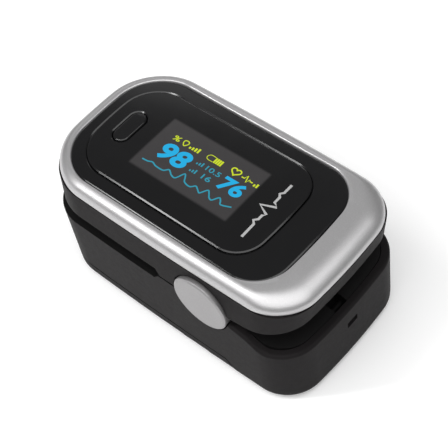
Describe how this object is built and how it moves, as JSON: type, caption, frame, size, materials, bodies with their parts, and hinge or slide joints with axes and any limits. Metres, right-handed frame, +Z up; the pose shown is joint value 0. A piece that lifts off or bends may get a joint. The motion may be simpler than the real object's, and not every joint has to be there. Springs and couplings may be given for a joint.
{
  "type": "fingertip pulse oximeter",
  "caption": "Fingertip pulse oximeter: sprung clip with a silver-ringed black face, lit screen, pill-shaped button, round hinge caps and a sliding battery door.",
  "frame": {"origin": "centre of the underside, on the surface that the device rests on", "axes": "+X from the finger opening to the squeeze end, +Y across the width, +Z up through the face"},
  "size_m": [0.06, 0.0348, 0.0291],
  "materials": {
    "shell": "fine-textured dark grey moulded plastic",
    "inner_black": "satin black moulded plastic",
    "pad_rubber": "soft matt dark silicone rubber",
    "window": "dark red clear window",
    "chip": "matt black moulded package",
    "circuit_board": "green solder mask",
    "cell": "printed sleeve over a steel can",
    "spring_steel": "bright drawn wire and sheet",
    "screw_steel": "zinc plated",
    "silver": "silver lacquered plastic, satin to gloss",
    "ribbon": "amber ribbon",
    "gloss_black": "polished black panel",
    "button_black": "polished black button",
    "screen": "lit two-colour screen"
  },
  "bodies": {
    "lower_jaw": {"lower_housing": "shell", "lower_inner_cover": "inner_black", "lower_finger_pad": "pad_rubber", "sensor_window": "window", "photodiode": "chip", "sensor_board": "circuit_board", "battery_cell_near": "cell", "battery_cell_far": "cell", "contact_spring_near": "spring_steel", "contact_spring_far": "spring_steel", "contact_plates": "spring_steel", "hinge_pin": "spring_steel", "torsion_spring_near": "spring_steel", "torsion_spring_far": "spring_steel", "hinge_cap_near": "silver", "hinge_cap_far": "silver", "lanyard_bar": "inner_black", "lower_cover_screws": "screw_steel", "sensor_flex_lower": "ribbon"},
    "upper_jaw": {"upper_housing": "shell", "bezel_ring": "silver", "face_cover": "gloss_black", "display_lens": "gloss_black", "switch_body": "spring_steel", "display_module": "screen", "display_frame": "inner_black", "display_flex": "ribbon", "main_board": "circuit_board", "board_chips": "chip", "flex_connector": "chip", "sensor_flex_upper": "ribbon", "upper_inner_cover": "inner_black", "upper_finger_pad": "pad_rubber", "led_window": "window", "led_emitter": "chip", "upper_cover_screws": "screw_steel", "board_screws": "screw_steel"},
    "button": {"power_button": "button_black", "switch_plunger": "chip"},
    "battery_door": {"battery_door": "shell"}
  },
  "joints": [
    {"name": "jaw_hinge", "type": "hinge", "parent": "lower_jaw", "child": "upper_jaw", "pos_m": [0.0105, 0, 0.019], "axis": [0, 1, 0], "range_deg": [0, 20], "stiffness_Nm_per_rad": 0.3, "springref_deg": -22.92, "deforming": ["torsion_spring_near", "torsion_spring_far"]},
    {"name": "button_press", "type": "slide", "parent": "upper_jaw", "child": "button", "axis": [0, 0, -1], "range_m": [0, 0.0004], "stiffness_N_per_m": 300, "springref_m": -0.001},
    {"name": "battery_door_slide", "type": "slide", "parent": "lower_jaw", "child": "battery_door", "axis": [-1, 0, 0], "range_m": [0, 0.02]}
  ]
}
